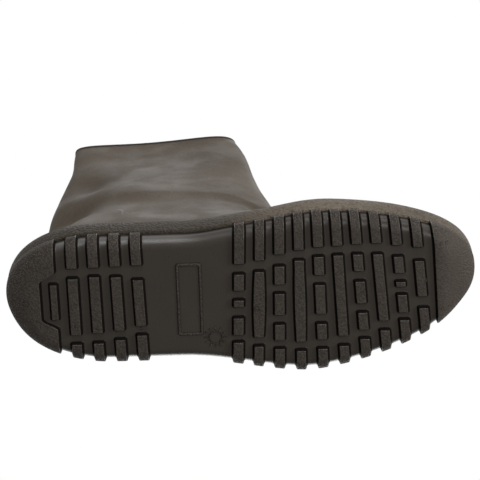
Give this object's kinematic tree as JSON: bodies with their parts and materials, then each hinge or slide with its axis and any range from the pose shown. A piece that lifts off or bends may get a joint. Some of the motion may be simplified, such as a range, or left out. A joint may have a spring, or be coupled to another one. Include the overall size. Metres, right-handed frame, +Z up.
{
  "type": "rubber overboot",
  "caption": "Pull-on rubber overboot with a tall soft leg, textured foxing strip and cleated sole.",
  "frame": {"origin": "on the ground under the middle of the boot's outline, at the cleat tips", "axes": "+X towards the toe, +Y towards the outer side of a left foot, +Z up the leg"},
  "size_m": [0.31, 0.1127, 0.254],
  "materials": {
    "outsole_rubber": "satin moulded rubber with pebbled cleat tips",
    "foxing_rubber": "matte rubber with a fine pebble texture",
    "upper_rubber": "smooth matte rubber",
    "rim_rubber": "smooth rolled rubber edge",
    "lining": "knitted cotton lining bonded to rubber"
  },
  "bodies": {
    "foot": {"outsole_rear": "outsole_rubber", "foxing_rear": "foxing_rubber", "insole_rear": "lining", "quarter": "upper_rubber", "ball_fold": "upper_rubber", "ankle_fold": "upper_rubber", "heel_counter": "lining"},
    "toe": {"outsole_toe": "outsole_rubber", "foxing_toe": "foxing_rubber", "insole_toe": "lining", "vamp_toe": "upper_rubber", "toe_ply": "lining"},
    "leg": {"leg": "upper_rubber", "rim_bead": "rim_rubber"}
  },
  "joints": [
    {"name": "ball_flex", "type": "hinge", "parent": "foot", "child": "toe", "pos_m": [0.0455, 0, 0.011], "axis": [0, -1, 0], "range_deg": [-10, 35], "stiffness_Nm_per_rad": 4, "deforming": ["ball_fold"]},
    {"name": "ankle_flex", "type": "hinge", "parent": "foot", "child": "leg", "pos_m": [-0.054, 0, 0.099], "axis": [0, 1, 0], "range_deg": [-20, 20], "stiffness_Nm_per_rad": 2.5, "deforming": ["ankle_fold"]}
  ]
}
